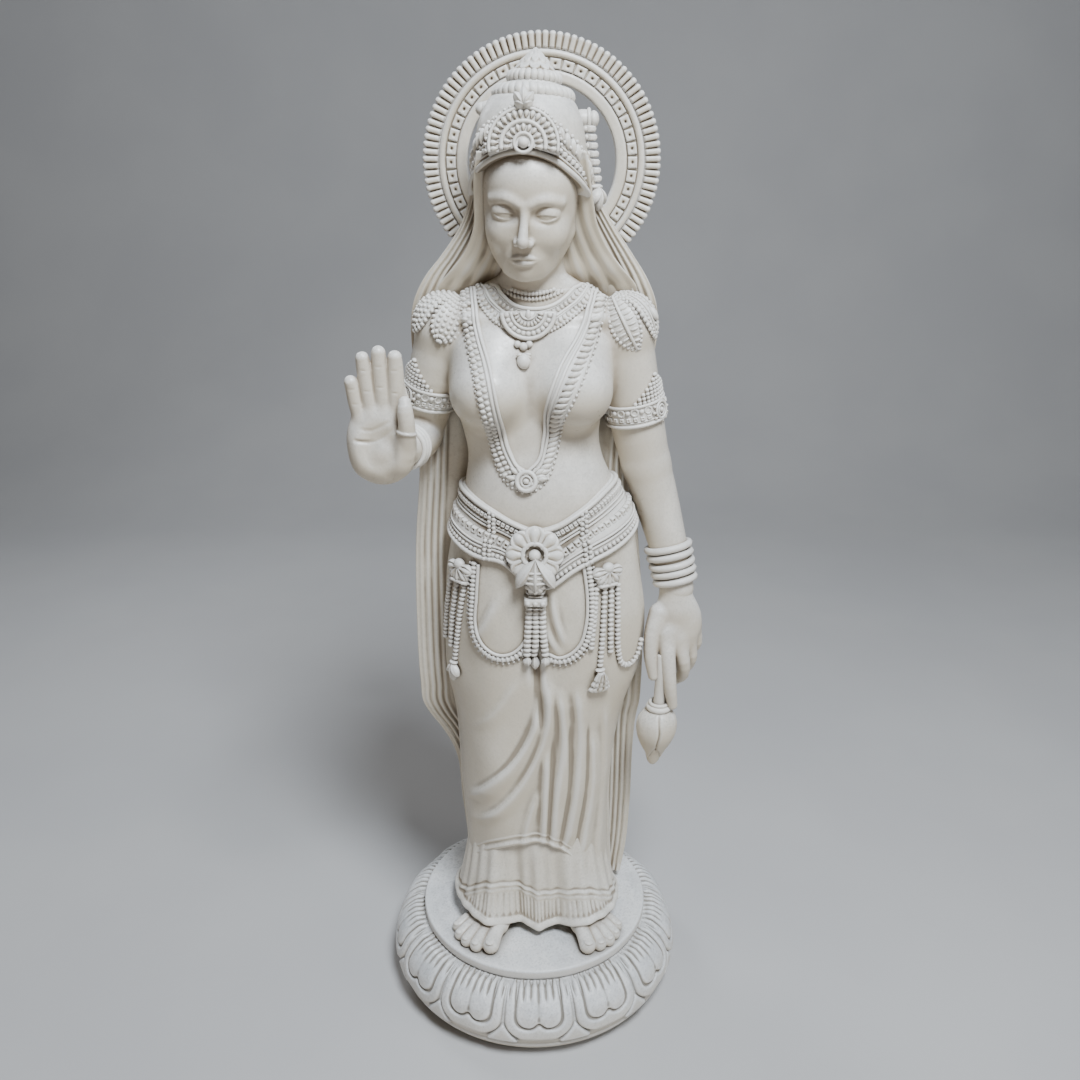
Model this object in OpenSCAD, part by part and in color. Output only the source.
/* [Base] */
// Largest radius of the lotus cushion
base_r = 98; // [94:1:102]
// Radius of the flat underside
foot_r = 85; // [80:1:88]
// Height of the lotus cushion
cushion_h = 46; // [42:1:50]
// Number of large lotus petals round the cushion
petal_count = 13; // [9:1:16]
// How far a petal stands out of the cushion
petal_relief = 2.4; // [1.5:0.1:3]
// Radius of the round plinth under the feet
disc_r = 78; // [74:1:82]
// Thickness of that plinth
disc_t = 8; // [6:1:10]

/* [Halo] */
// Outer radius of the halo, over the rays
halo_r = 68; // [66:1:72]
// Radius of the halo's open middle
halo_hole_r = 42; // [40:1:46]
// Thickness of the halo's plate
halo_t = 6; // [5:0.5:8]
// Height of the halo's centre above the plinth
halo_z = 488; // [484:1:490]
// Number of rays round the rim
ray_count = 104; // [60:2:120]
// Number of square studs in the middle band
stud_count = 44; // [30:1:50]

/* [Figure] */
// Half width of the hips
hip_half_w = 62; // [59:1:64]
// Half width of the waist
waist_half_w = 41; // [39:1:43]
// Radius of the upper arms
arm_r = 15.5; // [14:0.5:16]
// Number of bangles on the lowered wrist
bangle_count = 5; // [3:1:5]
// How far carved jewellery stands out of the body
relief = 3; // [2:0.5:3.5]

/* [Steel pins] */
// Radius of the two long pins between base and figure
dowel_r = 4; // [3:0.5:5]
// Gap filled with epoxy round each pin
epoxy_gap = 0.5; // [0.3:0.1:0.8]

/* [Hidden] */
marble = [0.86, 0.86, 0.84];
steel = [0.6, 0.6, 0.62];
stand_z = cushion_h + disc_t; // top of the plinth, where the figure stands
bulge_z = 17.5;               // height of the cushion's widest line
bulge_r = 72;                 // centre of the cushion's rounded profile
halo_x = 5;                   // the halo sits a little to the figure's left
halo_y = 24;                  // front face of the halo
dowel_places = [[-20, -2], [27, -2]];
dowel_low = 14;               // pin's lower end, in the cushion
dowel_len = 150;
neck_pin = [2, 1, 400];       // lower end of the pin inside the neck
side_n = 28;                  // sides of a lofted ring

// Places on the figure, from the middle of the plinth's top
right_shoulder = [-55, 2, 398];
right_elbow = [-67, 14, 336];
right_wrist = [-75, -46, 337];
left_shoulder = [56, 2, 398];
left_elbow = [72, 8, 318];
left_wrist = [89, -2, 240];
crown_centre = [-1, -9, 0];

// Rings of the body: height, centre x, centre y, half width, front depth, back depth
skirt_rings = [
    [22, 4, -4, 48, 33, 30],
    [60, 3, -4, 47, 32, 29],
    [104, 1, -2, 49, 35, 30],
    [150, 3, 0, hip_half_w - 7, 38, 30],
    [190, 4, 0, hip_half_w - 2, 40, 32],
    [225, 6, 0, hip_half_w, 41, 33],
    [255, 6, 0, hip_half_w - 3, 41, 32],
    [280, 6, 0, hip_half_w - 7, 40, 28],
    [292, 6, 0, hip_half_w - 11, 38, 26]];
frill_rings = [
    [0, 4, -2, 42, 26, 26],
    [2, 4, -3, 46, 35, 29],
    [4, 4, -3, 50, 38, 31],
    [12, 4, -4, 49, 35, 31],
    [22, 4, -4, 48, 33, 30]];
torso_rings = [
    [292, 6, 0, hip_half_w - 11, 38, 26],
    [300, 5, 0, hip_half_w - 14, 36, 24],
    [312, 3, 0, waist_half_w + 2, 33, 21],
    [325, 1, 0, waist_half_w, 30, 20],
    [338, 0, 0, waist_half_w + 1, 30, 20],
    [350, -2, 0, 46, 35, 21],
    [361, -3, 0, 48, 43, 22],
    [370, -2, 0, 49, 45, 22],
    [380, -1, 0, 51, 41, 22],
    [392, 0, 0, 54, 33, 22],
    [402, 1, 0, 55, 26, 21],
    [410, 1, 1, 52, 21, 19],
    [417, 1, 2, 40, 17, 16],
    [422, 2, 1, 20, 15, 14]];
head_rings = [
    [422, 2, 1, 20, 15, 14],
    [430, 1, 0, 17, 15, 14],
    [432, 0, -6, 18, 20, 19],
    [436, -1, -9, 20, 24, 24],
    [446, -2, -10, 25, 28, 27],
    [458, -2, -10, 28, 30, 29],
    [472, -2, -10, 29, 31, 30],
    [484, -1, -9, 29, 31, 30]];

// Moves its children on to the plinth
module on_plinth() {
    translate([0, 0, stand_z]) children();
}

// Turns its children so that their Z axis runs from a towards b, starting at a
module along(a, b) {
    v = b - a;
    translate(a) rotate([0, acos(v[2] / norm(v)), atan2(v[1], v[0])]) children();
}

// A closed skin through rings of points, where all rings have the same number of points
module skin(rings) {
    n = len(rings[0]);
    last = len(rings) - 1;
    points = [for (r = rings) each r];
    lower = [for (k = [0 : last - 1], i = [0 : n - 1]) [k * n + i, (k + 1) * n + i, (k + 1) * n + (i + 1) % n]];
    upper = [for (k = [0 : last - 1], i = [0 : n - 1]) [k * n + i, (k + 1) * n + (i + 1) % n, k * n + (i + 1) % n]];
    floor_cap = [[for (i = [0 : n - 1]) i]];
    roof_cap = [[for (i = [n - 1 : -1 : 0]) last * n + i]];
    polyhedron(points, concat(lower, upper, floor_cap, roof_cap));
}

// The points of one body ring, grown outwards by extra
function ring_points(r, extra, n) = [for (i = [0 : n - 1])
    let (a = 360 * i / n, depth = (sin(a) < 0 ? r[4] : r[5]) + extra)
    [r[1] + (r[3] + extra) * cos(a), r[2] + depth * sin(a), r[0]]];

// A body through its rings, grown outwards by extra
module body_of(rings, extra = 0, n = side_n) {
    skin([for (r = rings) ring_points(r, extra, n)]);
}

// A limb from a to b through rings of [share of the length, half width, half depth]
module limb(a, b, rings, n = 20) {
    length = norm(b - a);
    along(a, b) body_of([for (r = rings) [r[0] * length, 0, 0, r[1], r[2], r[2]]], 0, n);
}

// A rounded bar between two points, with a radius at each end
module bar(a, b, ra, rb) {
    hull() {
        translate(a) sphere(r = ra, $fn = 10);
        translate(b) sphere(r = rb, $fn = 10);
    }
}

// Its children in the X-Z plane, pushed through the figure's front from y = 0 to y = -80
module front_cut() {
    rotate([90, 0, 0]) linear_extrude(80) children();
}

// One closed mesh of its children
module one_mesh() {
    resize([0, 0, 0]) children();
}

// ---- base ----

function cushion_profile(extra) = concat(
    [[0, 0], [foot_r - 1.5, 0], [foot_r, 1]],
    [for (a = [-60 : 15 : 0]) [bulge_r + (base_r - bulge_r + extra) * cos(a), bulge_z + (bulge_z + 2) * sin(a)]],
    [for (a = [15 : 15 : 75])
        [bulge_r + (base_r - bulge_r + extra) * cos(a), bulge_z + (cushion_h - bulge_z + extra / 2) * sin(a)]]);

// The part of that profile which the petals cover
function shell_side(extra) = [for (p = cushion_profile(extra)) if (p[1] > 1.5 && p[1] < cushion_h - 0.5) p];

function reverse(list) = [for (i = [len(list) - 1 : -1 : 0]) list[i]];

module dowel_holes(r) {
    for (p = dowel_places)
        translate([p[0], p[1], dowel_low]) cylinder(r = r, h = dowel_len, $fn = 32);
}

module lotus_base() {
    color(marble) difference() {
        rotate_extrude($fn = 96)
            polygon(concat(cushion_profile(0), [[disc_r - 1, cushion_h], [0, cushion_h]]));
        dowel_holes(dowel_r + epoxy_gap);
    }
}

// Outline of one petal, w across and h tall, with its tip at the foot of the cushion
module petal_shape(w, h) {
    polygon(concat(
        [[0, 0], [w * 0.2, h * 0.09], [w * 0.42, h * 0.2]],
        [for (a = [0 : 30 : 60]) [w * 0.5 * cos(a * 0.8), h * (0.45 + 0.5 * sin(a))]],
        [[0, h]],
        [for (a = [60 : -30 : 0]) [-w * 0.5 * cos(a * 0.8), h * (0.45 + 0.5 * sin(a))]],
        [[-w * 0.42, h * 0.2], [-w * 0.2, h * 0.09]]));
}

module lotus_petals() {
    pitch = 360 / petal_count;
    petal_w = 2 * base_r * sin(pitch / 2) * 0.9;
    color(marble) for (k = [0 : petal_count - 1])
        rotate([0, 0, (k + 0.5) * pitch + 180]) intersection() {
            rotate_extrude($fn = 96) polygon(concat(shell_side(petal_relief), reverse(shell_side(0))));
            translate([0, 0, 3]) rotate([90, 0, 0])
                linear_extrude(base_r + 10) petal_shape(petal_w, cushion_h - 8);
        }
}

module plinth_disc() {
    edge_r = disc_t * 0.3;
    color(marble) difference() {
        translate([0, 0, cushion_h]) rotate_extrude($fn = 96)
            polygon(concat([[0, 0], [disc_r - 2, 0]],
                [for (a = [-60 : 30 : 90]) [disc_r - edge_r + edge_r * cos(a), disc_t - edge_r + edge_r * sin(a)]],
                [[0, disc_t]]));
        dowel_holes(dowel_r + epoxy_gap);
    }
}

// ---- feet and dress ----

// A bare foot, toes along -Y, turned by turn about its heel
module foot(heel, turn, side) {
    toes = [[-6.5, 7.5, 5.2], [4.5, 5.4, 3.8], [11, 4.2, 3.4], [16.5, 2, 3.1], [21, -1.5, 2.8]];
    translate(heel) rotate([0, 0, turn]) {
        hull() {
            translate([0, 6, 6]) sphere(r = 6, $fn = 12);
            translate([-5 * side, -26, 6]) sphere(r = 6, $fn = 12);
            translate([14 * side, -20, 4]) sphere(r = 4, $fn = 12);
            translate([2 * side, -6, 15]) sphere(r = 9, $fn = 12);
        }
        for (t = toes)
            bar([t[0] * side, -24, t[2]], [t[0] * side, -30 - t[1], t[2] * 0.9], t[2], t[2] * 0.9);
    }
}

module right_foot() {
    color(marble) one_mesh() difference() {
        on_plinth() foot([-31, -24, 0], -16, -1);
        on_plinth() body_of(frill_rings);
        translate([0, 0, stand_z - 5]) cube([400, 400, 10], center = true);
    }
}

module left_foot() {
    color(marble) one_mesh() difference() {
        on_plinth() foot([38, -24, 0], 14, 1);
        on_plinth() body_of(frill_rings);
        translate([0, 0, stand_z - 5]) cube([400, 400, 10], center = true);
    }
}

module petticoat_frill() {
    color(marble) one_mesh() difference() {
        on_plinth() body_of(frill_rings);
        dowel_holes(dowel_r + epoxy_gap);
    }
}

module sari_skirt() {
    color(marble) one_mesh() difference() {
        on_plinth() body_of(skirt_rings);
        dowel_holes(dowel_r + epoxy_gap);
    }
}

module torso_solid(extra = 0) {
    on_plinth() body_of(torso_rings, extra);
}

module neck_pin_hole(r) {
    on_plinth() translate(neck_pin) cylinder(r = r, h = 44, $fn = 24);
}

module torso() {
    color(marble) one_mesh() difference() {
        torso_solid();
        neck_pin_hole(dowel_r * 0.75 + epoxy_gap);
        halo_pin_holes(2 + epoxy_gap);
    }
}

module head() {
    color(marble) one_mesh() difference() {
        on_plinth() {
            body_of(head_rings);
            bar([-2, -39, 468], [-2, -41, 458], 2, 3.2);
        }
        neck_pin_hole(dowel_r * 0.75 + epoxy_gap);
    }
}

// One level of the veil: an open C round the back, from edge xl to edge xr, t thick
function veil_ring(z, xl, xr, front, back, t) =
    let (cx = (xl + xr) / 2, w = (xr - xl) / 2, n = 11)
    concat(
        [for (i = [0 : n]) let (a = 180 * i / n) [cx + w * cos(a), front + (back - front) * sin(a), z]],
        [for (i = [n : -1 : 0]) let (a = 180 * i / n)
            [cx + (w - t) * cos(a), front + (back - front - t) * sin(a), z]]);

veil_t = 5;
veil_rings = [
    veil_ring(8, -40, 63, 14, 42, veil_t),
    veil_ring(70, -46, 67, 12, 43, veil_t),
    veil_ring(112, -55, 62, 10, 43, veil_t),
    veil_ring(130, -70, 62, 10, 44, veil_t),
    veil_ring(150, -75, 63, 8, 45, veil_t),
    veil_ring(218, -74, 70, 6, 45, veil_t),
    veil_ring(265, -71, 68, 5, 42, veil_t),
    veil_ring(310, -67, 60, 6, 36, veil_t),
    veil_ring(350, -66, 60, 8, 31, veil_t),
    veil_ring(385, -66, 64, 8, 28, veil_t),
    veil_ring(410, -67, 68, 6, 25, veil_t),
    veil_ring(424, -64, 66, 4, 23, veil_t),
    veil_ring(436, -55, 58, 2, 23, veil_t),
    veil_ring(452, -44, 44, 0, 23, veil_t),
    veil_ring(470, -37, 36, -4, 23, veil_t),
    veil_ring(484, -34, 33, -8, 23, veil_t)];

module veil() {
    color(marble) one_mesh() difference() {
        on_plinth() skin(veil_rings);
        on_plinth() body_of(skirt_rings);
        torso_solid();
        on_plinth() body_of(head_rings);
        on_plinth() right_arm_solid();
        on_plinth() left_arm_solid();
        halo_pin_holes(2 + epoxy_gap);
    }
}

// ---- arms and hands ----

upper_arm_rings = [[-0.16, 6, 6], [-0.08, 12, 12], [0.05, 15, 14.5], [0.35, arm_r, arm_r - 0.5],
    [0.7, arm_r - 1, arm_r - 1], [1, arm_r - 2, arm_r - 2]];
forearm_rings = [[0, arm_r - 2, arm_r - 2], [0.3, arm_r - 1.5, arm_r - 2], [0.7, 12, 11.5], [1, 10.5, 9.5]];

module right_arm_solid() {
    limb(right_shoulder, right_elbow, upper_arm_rings);
    translate(right_elbow) sphere(r = arm_r - 1.5, $fn = 20);
}

module left_arm_solid() {
    limb(left_shoulder, left_elbow, upper_arm_rings);
    limb(left_elbow, left_wrist, forearm_rings);
    translate(left_elbow) sphere(r = arm_r - 1.5, $fn = 20);
}

module right_upper_arm() {
    color(marble) one_mesh() difference() {
        on_plinth() right_arm_solid();
        torso_solid();
    }
}

module right_forearm() {
    color(marble) one_mesh() difference() {
        on_plinth() limb(right_elbow, right_wrist, forearm_rings);
        on_plinth() right_arm_solid();
        on_plinth() wrist_pin(dowel_r * 0.6 + epoxy_gap);
    }
}

module left_upper_arm() {
    color(marble) one_mesh() difference() {
        on_plinth() {
            limb(left_shoulder, left_elbow, upper_arm_rings);
            translate(left_elbow) sphere(r = arm_r - 1.5, $fn = 20);
        }
        torso_solid();
    }
}

module left_forearm() {
    color(marble) one_mesh() difference() {
        on_plinth() limb(left_elbow, left_wrist, forearm_rings);
        on_plinth() limb(left_shoulder, left_elbow, upper_arm_rings);
        on_plinth() translate(left_elbow) sphere(r = arm_r - 1.5, $fn = 20);
        on_plinth() body_of(skirt_rings);
    }
}

// Raised hand, palm to the front, fingers up
module raised_hand() {
    palm_x = -77;
    palm_y = -60;
    fingers = [[-15, 0, 28], [-5.5, 2, 35], [4.5, 2, 33], [13.5, 0, 25]];
    hull() {
        translate([palm_x + 1, palm_y + 2, 334]) sphere(r = 8, $fn = 12);
        translate([palm_x - 12, palm_y, 342]) sphere(r = 7, $fn = 12);
        translate([palm_x + 12, palm_y, 342]) sphere(r = 7, $fn = 12);
        translate([palm_x - 13, palm_y + 1, 360]) sphere(r = 5.5, $fn = 12);
        translate([palm_x + 12, palm_y + 1, 361]) sphere(r = 5.5, $fn = 12);
    }
    for (f = fingers)
        bar([palm_x + f[0], palm_y, 362], [palm_x + f[0] * 1.1, palm_y + f[1], 362 + f[2]], 4.6, 3.8);
    bar([palm_x + 13, palm_y - 3, 346], [palm_x + 18, palm_y - 8, 376], 5.5, 4);
}

module right_hand() {
    color(marble) one_mesh() difference() {
        on_plinth() raised_hand();
        on_plinth() limb(right_elbow, right_wrist, forearm_rings);
        on_plinth() wrist_pin(dowel_r * 0.6 + epoxy_gap);
    }
}

// Lowered hand, fingers round the flower's stem
module lowered_hand() {
    fingers = [[81, -17, 190, 168], [86, -19, 186, 163], [92, -18, 186, 163], [97, -14, 190, 170]];
    hull() {
        translate([90, -4, 234]) sphere(r = 9, $fn = 12);
        translate([80, -8, 212]) sphere(r = 8, $fn = 12);
        translate([98, -6, 212]) sphere(r = 8, $fn = 12);
        translate([82, -12, 192]) sphere(r = 6, $fn = 12);
        translate([98, -10, 192]) sphere(r = 6, $fn = 12);
    }
    for (f = fingers)
        bar([f[0], f[1] + 4, f[2]], [f[0] - 1, f[1] + 2, f[3]], 5, 4);
    bar([78, -10, 210], [74, -16, 186], 5.5, 4);
}

module left_hand() {
    color(marble) one_mesh() difference() {
        on_plinth() lowered_hand();
        on_plinth() limb(left_elbow, left_wrist, forearm_rings);
        on_plinth() body_of(skirt_rings);
        on_plinth() flower();
    }
}

module flower() {
    bar([82, -15, 196], [80, -16, 160], 2.6, 2.6);
    translate([79, -16, 146]) scale([1, 1, 1.1]) sphere(r = 13.5, $fn = 24);
    bar([79, -16, 146], [78, -16, 119], 9, 3);
}

module lotus_bud() {
    color(marble) one_mesh() on_plinth() flower();
}

// ---- crown ----

module crown_dome(extra = 0) {
    on_plinth() body_of([
        [484, -1, -9, 34, 34, 31],
        [494, -1, -9, 35, 35, 31],
        [506, -1, -9, 33, 33, 29],
        [516, -1, -9, 27, 27, 25]], extra);
}

module crown_cap() {
    color(marble) one_mesh() difference() {
        crown_dome();
        on_plinth() skin(veil_rings);
    }
}

module crown_tiara() {
    color(marble) one_mesh() difference() {
        intersection() {
            crown_dome(6);
            translate([-4, 0, stand_z + 492]) front_cut() intersection() {
                circle(r = 27, $fn = 40);
                translate([-40, -8]) square([80, 40]);
            }
            translate([-60, -80, 0]) cube([120, 62, 700]);
        }
        crown_dome();
    }
}

module crown_tiers() {
    color(marble) on_plinth() translate(crown_centre) {
        translate([0, 0, 516]) rotate_extrude($fn = 64) union() {
            square([22, 14]);
            translate([21, 4]) circle(r = 4, $fn = 24);
        }
        translate([0, 0, 530]) rotate_extrude($fn = 64) union() {
            square([14, 4]);
            translate([13, 3]) circle(r = 3.5, $fn = 24);
        }
    }
}

module crown_finial() {
    color(marble) on_plinth() translate(crown_centre) translate([0, 0, 534]) rotate_extrude($fn = 48)
        polygon([[0, 0], [12, 0], [10, 5], [6, 9], [3, 12], [0, 14]]);
}

module crown_side_ornaments() {
    color(marble) one_mesh() difference() {
        on_plinth() for (side = [-1, 1]) {
            bar([side * 33 - 1, 2, 508], [side * 33 - 1, 2, 500], 5, 4);
            bar([side * 34 - 1, -2, 498], [side * 36 - 1, -4, 458], 3, 3.5);
        }
        on_plinth() skin(veil_rings);
        crown_dome();
        on_plinth() body_of(head_rings);
    }
}

// ---- halo ----

module halo_place() {
    on_plinth() translate([halo_x, halo_y, halo_z]) rotate([-90, 0, 0]) children();
}

module halo_pin_holes(r) {
    on_plinth() for (side = [-1, 1])
        translate([halo_x + side * 16, halo_y - 14, halo_z - halo_hole_r - 9]) rotate([-90, 0, 0])
            cylinder(r = r, h = 18, $fn = 24);
}

module halo_ring() {
    color(marble) difference() {
        halo_place() rotate_extrude($fn = 120)
            polygon([[halo_hole_r, 0], [halo_r - 10, 0], [halo_r - 10, halo_t], [halo_hole_r, halo_t]]);
        halo_pin_holes(2 + epoxy_gap);
    }
}

module halo_rays() {
    step = 360 / ray_count;
    color(marble) halo_place() linear_extrude(halo_t) difference() {
        polygon([for (i = [0 : ray_count - 1], k = [[0.1, halo_r - 2], [0.3, halo_r], [0.6, halo_r], [0.8, halo_r - 2]])
            k[1] * [cos((i + k[0]) * step), sin((i + k[0]) * step)]]);
        circle(r = halo_r - 10, $fn = 120);
    }
}

module halo_studs() {
    stud = 5;
    color(marble) halo_place() for (i = [0 : stud_count - 1])
        rotate([0, 0, i * 360 / stud_count]) translate([halo_r - 16.5, 0, -0.8])
            cube([stud, stud, 1.6], center = true);
}

// ---- jewellery ----

module choker() {
    color(marble) one_mesh() difference() {
        on_plinth() intersection() {
            body_of(head_rings, relief);
            translate([-60, -60, 423]) cube([120, 120, 6]);
        }
        on_plinth() body_of(head_rings);
        torso_solid();
        on_plinth() skin(veil_rings);
    }
}

// A carved shape laid on the front of the torso
module on_torso(height = relief) {
    color(marble) one_mesh() difference() {
        intersection() {
            torso_solid(height);
            translate([0, 0, stand_z]) front_cut() children();
        }
        torso_solid();
        on_plinth() right_arm_solid();
        on_plinth() left_arm_solid();
    }
}

module collar_necklace() {
    on_torso() {
        difference() {
            translate([1, 424]) scale([1, 0.9]) circle(r = 31, $fn = 48);
            translate([1, 427]) scale([1, 0.9]) circle(r = 20, $fn = 48);
            translate([-50, 422]) square([100, 50]);
        }
        translate([1, 388]) circle(r = 6, $fn = 24);
        translate([0, 378]) circle(r = 4, $fn = 24);
    }
}

module garland_outline(w) {
    translate([0, 334]) difference() {
        hull() {
            translate([-2, 5]) circle(r = w - 26, $fn = 32);
            translate([1, 84]) square([2 * w, 1], center = true);
        }
        hull() {
            translate([-2, 6]) circle(r = w - 36, $fn = 32);
            translate([1, 85]) square([2 * w - 22, 2], center = true);
        }
    }
}

module garland_necklace() {
    on_torso() garland_outline(42);
}

module shoulder_ornament(p, side) {
    color(marble) one_mesh() difference() {
        on_plinth() intersection() {
            translate(p + [side, -1, 4]) scale([1, 1, 0.9]) sphere(r = 19, $fn = 20);
            translate([side * 58 - 20, -30, 385]) cube([40, 60, 40]);
        }
        torso_solid();
        on_plinth() right_arm_solid();
        on_plinth() left_arm_solid();
        on_plinth() skin(veil_rings);
    }
}

module right_shoulder_ornament() {
    shoulder_ornament(right_shoulder, -1);
}

module left_shoulder_ornament() {
    shoulder_ornament(left_shoulder, 1);
}

// A band round a limb from a to b, between two shares of its length
module band(a, b, low, high, r) {
    along(a, b) translate([0, 0, low * norm(b - a)]) cylinder(r = r, h = (high - low) * norm(b - a), $fn = 36);
}

module right_armlet() {
    color(marble) one_mesh() difference() {
        on_plinth() band(right_shoulder, right_elbow, 0.42, 0.72, arm_r + 2);
        on_plinth() right_arm_solid();
        torso_solid(relief + 0.5);
        on_plinth() skin(veil_rings);
    }
}

module left_armlet() {
    color(marble) one_mesh() difference() {
        on_plinth() band(left_shoulder, left_elbow, 0.48, 0.72, arm_r + 2);
        on_plinth() left_arm_solid();
        torso_solid(relief + 0.5);
        on_plinth() skin(veil_rings);
    }
}

// One round bangle of radius r on a limb from a to b, at a share of its length
module bangle(a, b, share, r) {
    along(a, b) translate([0, 0, share * norm(b - a)]) rotate_extrude($fn = 48)
        translate([r, 0]) circle(r = 1.6, $fn = 24);
}

module right_bangles() {
    color(marble) on_plinth() for (k = [0 : 2])
        bangle(right_elbow, right_wrist, 0.7 + 0.07 * k, 13);
}

module left_bangles() {
    color(marble) on_plinth() for (k = [0 : bangle_count - 1])
        bangle(left_elbow, left_wrist, 0.76 + 0.05 * k, 13);
}

// ---- belt ----

// A carved shape laid on the front of the hips
module on_hips(height = relief) {
    color(marble) one_mesh() difference() {
        intersection() {
            on_plinth() body_of(skirt_rings, height);
            translate([0, 0, stand_z]) front_cut() children();
        }
        on_plinth() body_of(skirt_rings);
    }
}

module belt() {
    color(marble) one_mesh() difference() {
        intersection() {
            on_plinth() body_of(skirt_rings, relief);
            translate([0, 0, stand_z]) rotate([90, 0, 0]) linear_extrude(120, center = true) hull() {
                translate([-62, 282]) square([1, 10]);
                translate([2, 266]) square([4, 16]);
                translate([74, 282]) square([1, 10]);
            }
        }
        on_plinth() body_of(skirt_rings);
        on_plinth() skin(veil_rings);
        belt_rosette_solid();
    }
}

module belt_rosette_solid() {
    on_plinth() translate([1, -38, 280]) rotate([90, 0, 0]) {
        cylinder(r = 8, h = 7, $fn = 32);
        for (i = [0 : 7])
            rotate([0, 0, i * 45]) translate([8, 0, 0]) cylinder(r = 4, h = 5.5, $fn = 20);
    }
}

module belt_rosette() {
    color(marble) one_mesh() difference() {
        belt_rosette_solid();
        on_plinth() body_of(skirt_rings);
    }
}

module belt_tassel() {
    on_hips(5) {
        translate([-5, 232]) square([12, 32]);
        translate([-7, 204]) square([16, 26]);
    }
}

// A hanging loop of beads: outer half width w and depth d, band b wide
module swag(w, d, b) {
    difference() {
        translate([-w, -d]) square([2 * w, d + 30]);
        translate([-w + b, -d + b]) square([2 * (w - b), d + 40]);
        difference() {
            translate([-w - 1, -d - 1]) square([2 * w + 2, w + 1]);
            translate([0, w - d]) circle(r = w, $fn = 40);
        }
    }
}

module belt_swags() {
    on_hips() {
        translate([-23, 232]) swag(14, 34, 6);
        translate([26, 232]) swag(15, 34, 6);
    }
}

module right_side_tassels() {
    on_hips(4) {
        translate([-47, 196]) square([6, 76]);
    }
}

module left_side_tassels() {
    on_hips(4) {
        translate([43, 200]) square([6, 72]);
        translate([52, 196]) square([6, 76]);
    }
}

// ---- steel pins ----

module base_dowels() {
    color(steel) for (p = dowel_places)
        translate([p[0], p[1], dowel_low]) cylinder(r = dowel_r, h = dowel_len, $fn = 32);
}

module neck_dowel() {
    color(steel) on_plinth() translate(neck_pin) cylinder(r = dowel_r * 0.75, h = 44, $fn = 24);
}

module wrist_pin(r) {
    translate([-75, -62, 340]) rotate([-90, 0, 0]) cylinder(r = r, h = 32, $fn = 24);
}

module wrist_dowel() {
    color(steel) on_plinth() wrist_pin(dowel_r * 0.6);
}

module halo_pins() {
    color(steel) halo_pin_holes(2);
}

lotus_base();
lotus_petals();
plinth_disc();
right_foot();
left_foot();
petticoat_frill();
sari_skirt();
torso();
head();
veil();
right_upper_arm();
right_forearm();
right_hand();
left_upper_arm();
left_forearm();
left_hand();
lotus_bud();
crown_cap();
crown_tiara();
crown_tiers();
crown_finial();
crown_side_ornaments();
halo_ring();
halo_rays();
halo_studs();
choker();
collar_necklace();
garland_necklace();
right_shoulder_ornament();
left_shoulder_ornament();
right_armlet();
left_armlet();
right_bangles();
left_bangles();
belt();
belt_rosette();
belt_tassel();
belt_swags();
right_side_tassels();
left_side_tassels();
base_dowels();
neck_dowel();
wrist_dowel();
halo_pins();
